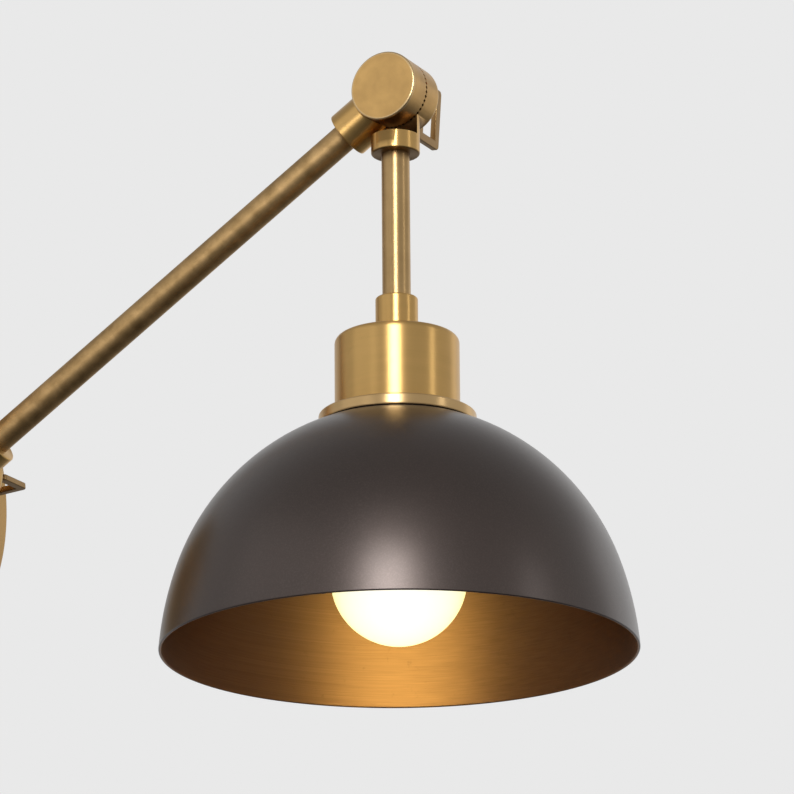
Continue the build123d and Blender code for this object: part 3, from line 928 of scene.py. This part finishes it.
def soft_lamp(name, azimuth, elevation, distance, width, height, power):
    """A rectangular soft light aimed at the middle of the lamp."""
    light = bpy.data.lights.new(name, "AREA")
    light.shape = "RECTANGLE"
    light.size = width
    light.size_y = height
    light.energy = power
    lamp = bpy.data.objects.new(name, light)
    lamp.location = from_lamp(azimuth, elevation, distance)
    aim = lamp_middle - lamp.location
    lamp.rotation_euler = aim.to_track_quat("-Z", "Y").to_euler()
    bpy.context.scene.collection.objects.link(lamp)


def light_lamp():
    """A key light, a narrow strip and a rim light at the right, and a fill and a low card at the left."""
    soft_lamp("key_softbox", azimuth=23, elevation=18, distance=1.5, width=0.45, height=0.66, power=13.5)
    soft_lamp("side_strip", azimuth=95, elevation=16, distance=1.6, width=0.22, height=0.55, power=0.85)
    soft_lamp("right_rim", azimuth=155, elevation=12, distance=1.7, width=0.5, height=1.0, power=0.6)
    soft_lamp("left_fill", azimuth=-36, elevation=26, distance=1.8, width=1.5, height=0.95, power=1.55)
    soft_lamp("low_card", azimuth=-12, elevation=-4, distance=1.7, width=0.5, height=0.22, power=0.55)


def grey_steps(tree, factor, steps):
    """A grey that runs smoothly through some (place, level) pairs."""
    node = add_node(tree, "ShaderNodeValToRGB")
    stops = node.color_ramp.elements
    while len(stops) < len(steps):
        stops.new(0.5)
    for stop, (place, grey) in zip(stops, steps):
        stop.position = place
        stop.color = (grey, grey, grey, 1)
    tree.links.new(factor, node.inputs["Fac"])
    return node.outputs["Color"]


def studio_world():
    """Pale backdrop for the camera; metal and glass also show the dimmer studio in front and below."""
    world = bpy.data.worlds.new("studio")
    world.use_nodes = True
    tree = world.node_tree
    tree.nodes.clear()
    path = add_node(tree, "ShaderNodeLightPath").outputs
    mirrored = math_node(tree, "MAXIMUM", path["Is Glossy Ray"], path["Is Transmission Ray"])
    direction = add_node(tree, "ShaderNodeTexCoord").outputs["Generated"]
    camera_side = Vector((camera_offset.x, camera_offset.y, 0)).normalized()
    facing = Matrix.Rotation(math.radians(backdrop_turn), 3, "Z") @ camera_side
    flat = vector_node(tree, "MULTIPLY", direction, (1.0, 1.0, 0.0)).outputs[0]
    level_direction = vector_node(tree, "NORMALIZE", flat).outputs[0]
    ahead = vector_node(tree, "DOT_PRODUCT", level_direction, facing).outputs["Value"]
    _, _, height = split(tree, direction)
    studio = grey_steps(tree, ramp(tree, height, low=-1.0, high=1.0), studio_greys)
    backdrop = (backdrop_grey, backdrop_grey, backdrop_grey)
    behind = ramp(tree, ahead, *backdrop_sweep)
    above = ramp(tree, height, *backdrop_foot_sweep)
    below_top = ramp(tree, height, *backdrop_top_sweep)
    on_backdrop = product(tree, behind, product(tree, above, below_top))
    room = mix_colours(tree, on_backdrop, studio, backdrop)
    seen = mix_colours(tree, mirrored, room_light, room)
    shown = mix_colours(tree, path["Is Camera Ray"], seen, backdrop)
    light = add_node(tree, "ShaderNodeBackground")
    tree.links.new(shown, light.inputs["Color"])
    output = add_node(tree, "ShaderNodeOutputWorld")
    tree.links.new(light.outputs[0], output.inputs["Surface"])
    bpy.context.scene.world = world


def photo_camera():
    """Camera at the photograph's place, looking up at the lamp."""
    data = bpy.data.cameras.new("camera")
    data.lens = camera_lens
    data.sensor_width = camera_sensor
    camera = bpy.data.objects.new("camera", data)
    camera.matrix_world = (
        Matrix.Translation(head_pivot + camera_offset)
        @ Matrix.Rotation(math.radians(camera_azimuth), 4, "Z")
        @ Matrix.Rotation(math.radians(quarter - camera_elevation), 4, "X")
        @ Matrix.Rotation(math.radians(camera_roll), 4, "Z")
    )
    bpy.context.scene.collection.objects.link(camera)
    bpy.context.scene.camera = camera


build_lamp()
pale_floor()
light_lamp()
studio_world()
photo_camera()
bpy.context.scene.view_settings.view_transform = "Standard"
